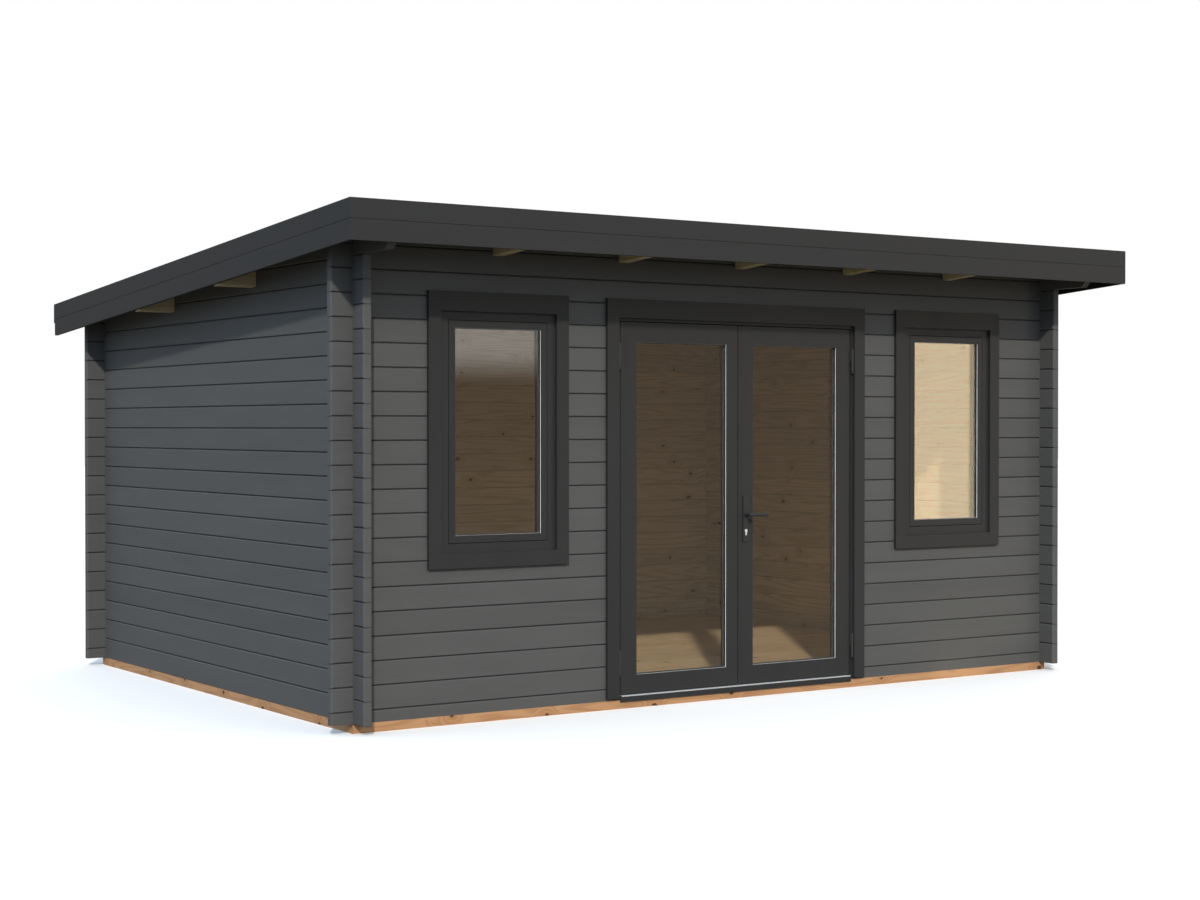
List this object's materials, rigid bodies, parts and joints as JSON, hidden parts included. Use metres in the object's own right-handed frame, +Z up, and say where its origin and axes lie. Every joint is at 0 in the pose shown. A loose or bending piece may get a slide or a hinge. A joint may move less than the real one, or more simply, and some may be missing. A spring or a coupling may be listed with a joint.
{
  "type": "garden office pod",
  "caption": "Log-built garden office with notched corners, a low pent roof, a glazed double door in the front wall and a window on each side of it.",
  "frame": {"origin": "on the ground, under the middle of the roof", "axes": "+X to the right along the door wall as seen from outside, -Y out of the door wall, +Z up"},
  "size_m": [4.948, 3.924, 2.429],
  "materials": {
    "natural_wood": "planed, unpainted",
    "base_wood": "sawn, impregnated",
    "log_paint": "dark grey paint, satin",
    "trim_paint": "dark grey paint, satin",
    "glass": "clear sealed unit",
    "handle_metal": "satin",
    "hinge_metal": "dark grey paint",
    "threshold_aluminium": "mill finish",
    "roof_covering": "matt roofing sheet",
    "floor_wood": "planed, unpainted"
  },
  "bodies": {
    "pod": {"base_beam_front": "base_wood", "base_beam_left": "base_wood", "base_beam_rear": "base_wood", "base_beam_right": "base_wood", "door_casing_head": "trim_paint", "door_casing_left": "trim_paint", "door_casing_right": "trim_paint", "door_head": "trim_paint", "door_jamb_left": "trim_paint", "door_jamb_right": "trim_paint", "door_threshold": "trim_paint", "door_threshold_strip": "threshold_aluminium", "fascia_front_lower": "trim_paint", "fascia_front_upper": "trim_paint", "fascia_left_lower": "trim_paint", "fascia_left_upper": "trim_paint", "fascia_right_lower": "trim_paint", "fascia_right_upper": "trim_paint", "floor_bearers": "base_wood", "floor_boards": "floor_wood", "front_wall_header": "log_paint", "front_wall_left_corner": "log_paint", "front_wall_left_of_door": "log_paint", "front_wall_right_corner": "log_paint", "front_wall_right_of_door": "log_paint", "front_wall_under_left_window": "log_paint", "front_wall_under_right_window": "log_paint", "left_hinges_on_jamb": "hinge_metal", "left_wall": "log_paint", "left_window_casing": "trim_paint", "left_window_frame": "trim_paint", "left_window_glass": "glass", "left_window_sash": "trim_paint", "purlin_front": "natural_wood", "purlin_rear": "natural_wood", "rafter_tails": "natural_wood", "rear_trim": "trim_paint", "rear_wall": "log_paint", "right_hinges_on_jamb": "hinge_metal", "right_wall": "log_paint", "right_window_casing": "trim_paint", "right_window_frame": "trim_paint", "right_window_glass": "glass", "right_window_sash": "trim_paint", "roof_boards": "natural_wood", "roof_covering": "roof_covering"},
    "left_leaf": {"left_leaf_frame": "trim_paint", "left_leaf_glass": "glass", "left_hinges_on_leaf": "hinge_metal"},
    "right_leaf": {"right_leaf_frame": "trim_paint", "right_leaf_glass": "glass", "right_hinges_on_leaf": "hinge_metal", "right_leaf_handle_plates": "handle_metal", "right_leaf_lock": "handle_metal"},
    "lever": {"door_lever": "handle_metal"}
  },
  "joints": [
    {"name": "left_leaf_hinge", "type": "hinge", "parent": "pod", "child": "left_leaf", "pos_m": [-0.766, -1.558, 1], "axis": [0, 0, -1], "range_deg": [0, 110]},
    {"name": "right_leaf_hinge", "type": "hinge", "parent": "pod", "child": "right_leaf", "pos_m": [0.766, -1.558, 1], "axis": [0, 0, 1], "range_deg": [0, 110]},
    {"name": "lever_turn", "type": "hinge", "parent": "right_leaf", "child": "lever", "pos_m": [0.037, -1.528, 0.96], "axis": [0, 1, 0], "range_deg": [0, 40], "stiffness_Nm_per_rad": 1.2, "springref_deg": -28.65}
  ]
}
